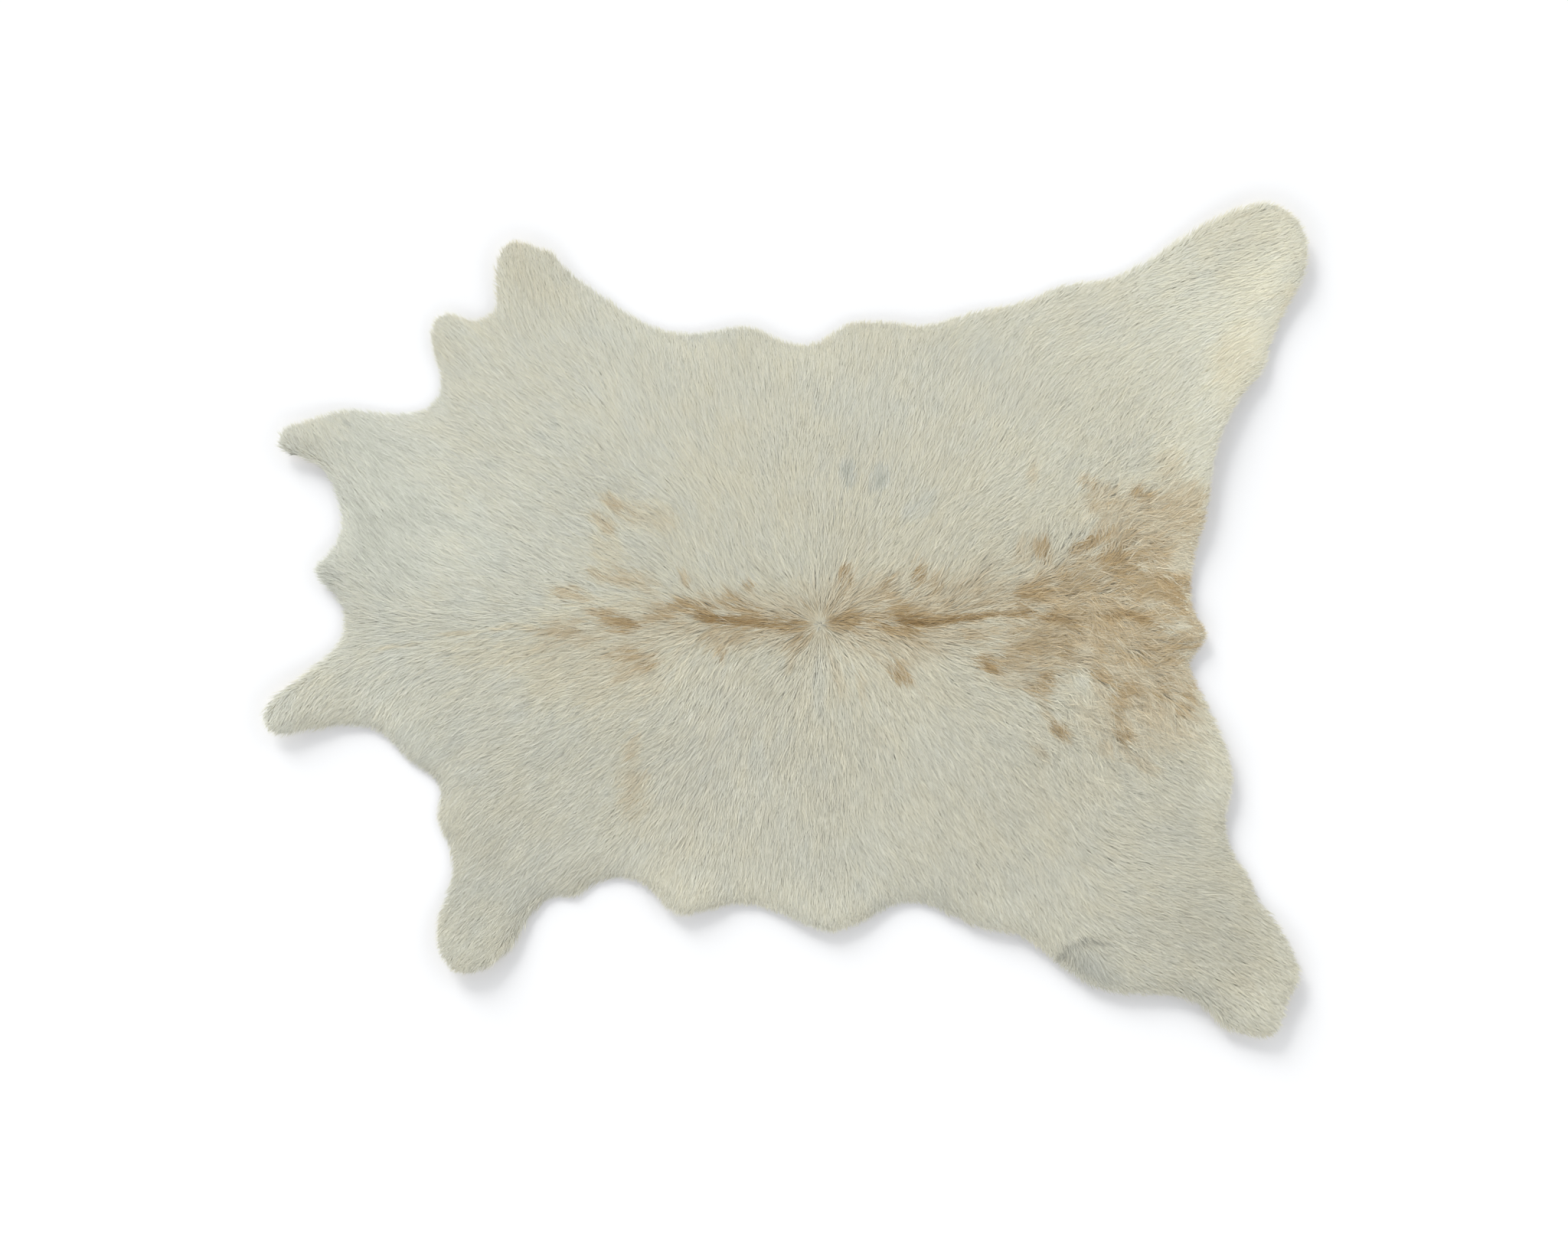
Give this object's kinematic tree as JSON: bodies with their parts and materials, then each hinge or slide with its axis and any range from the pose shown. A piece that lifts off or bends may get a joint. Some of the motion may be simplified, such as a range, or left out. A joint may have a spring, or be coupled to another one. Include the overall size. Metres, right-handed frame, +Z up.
{
  "type": "calfskin rug",
  "caption": "Hair-on calf hide laid flat as a floor rug, with split neck lobes, four leg flaps, a stub of the tail and a hair whorl on the back.",
  "frame": {"origin": "on the floor under the middle of the hide's box", "axes": "+X along the back towards the tail, +Y across the back to the flank that is uppermost in plan, +Z up out of the hair side"},
  "size_m": [1.09, 0.8718, 0.0123],
  "materials": {
    "hair_on_leather": "short lying calf hair, cream with tan along the back, on tanned leather with a suede flesh side"
  },
  "bodies": {
    "root": {"calf_hide": "hair_on_leather"}
  },
  "joints": []
}
